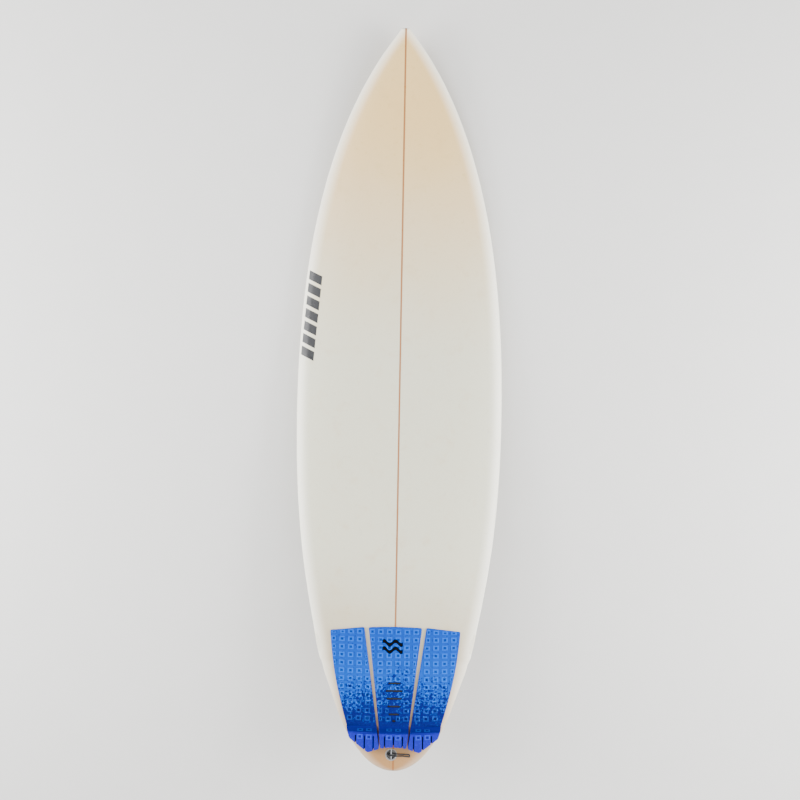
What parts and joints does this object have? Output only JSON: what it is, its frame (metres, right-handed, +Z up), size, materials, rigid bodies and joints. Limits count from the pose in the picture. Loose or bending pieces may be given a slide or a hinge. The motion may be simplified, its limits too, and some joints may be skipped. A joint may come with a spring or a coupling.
{
  "type": "shortboard surfboard",
  "caption": "Pointed shortboard with glassed foam body, wood stringer, fins in boxes, leash plug with string, and a blue traction pad with a tail kick.",
  "frame": {"origin": "middle of the board's footprint, on the floor it rests on", "axes": "+Y towards the nose, +X to the right seen from above, +Z up out of the deck"},
  "size_m": [0.5016, 1.7758, 0.2032],
  "materials": {
    "foam": "cut polyurethane foam",
    "stringer": "planed basswood",
    "glass": "sanded and gloss-coated fibreglass over foam",
    "fin_box": "moulded nylon",
    "fin": "moulded composite, satin",
    "screw": "stainless steel",
    "cup": "moulded plastic",
    "pin": "stainless steel",
    "string": "braided polyester cord",
    "adhesive": "adhesive film",
    "pad": "embossed EVA foam, speckled"
  },
  "bodies": {
    "board": {"foam_core_left": "foam", "foam_core_right": "foam", "stringer": "stringer", "deck_laminate": "glass", "bottom_laminate": "glass", "fin_box_left": "fin_box", "fin_box_right": "fin_box", "fin_box_centre": "fin_box", "leash_cup": "cup", "leash_pin": "pin", "leash_string": "string", "leash_knot": "string", "pad_adhesive_left": "adhesive", "pad_sheet_left": "pad", "pad_kick_left": "pad", "pad_adhesive_centre": "adhesive", "pad_sheet_centre": "pad", "pad_kick_centre": "pad", "pad_adhesive_right": "adhesive", "pad_sheet_right": "pad", "pad_kick_right": "pad"},
    "fin_left_body": {"fin_left": "fin"},
    "fin_screw_left_body": {"fin_screw_left": "screw"},
    "fin_right_body": {"fin_right": "fin"},
    "fin_screw_right_body": {"fin_screw_right": "screw"},
    "fin_centre_body": {"fin_centre": "fin"},
    "fin_screw_centre_body": {"fin_screw_centre": "screw"}
  },
  "joints": [
    {"name": "fin_left_pull", "type": "slide", "parent": "board", "child": "fin_left_body", "axis": [-0.1078, -0.175, -0.9786], "range_m": [0, 0.03]},
    {"name": "fin_screw_left_turn_out", "type": "slide", "parent": "board", "child": "fin_screw_left_body", "axis": [-0.048, 0.5712, -0.8194], "range_m": [0, 0.004]},
    {"name": "fin_right_pull", "type": "slide", "parent": "board", "child": "fin_right_body", "axis": [0.1078, -0.175, -0.9786], "range_m": [0, 0.03]},
    {"name": "fin_screw_right_turn_out", "type": "slide", "parent": "board", "child": "fin_screw_right_body", "axis": [0.048, 0.5712, -0.8194], "range_m": [0, 0.004]},
    {"name": "fin_centre_pull", "type": "slide", "parent": "board", "child": "fin_centre_body", "axis": [0, -0.2222, -0.975], "range_m": [0, 0.03]},
    {"name": "fin_screw_centre_turn_out", "type": "slide", "parent": "board", "child": "fin_screw_centre_body", "axis": [0, 0.5323, -0.8465], "range_m": [0, 0.004]}
  ]
}
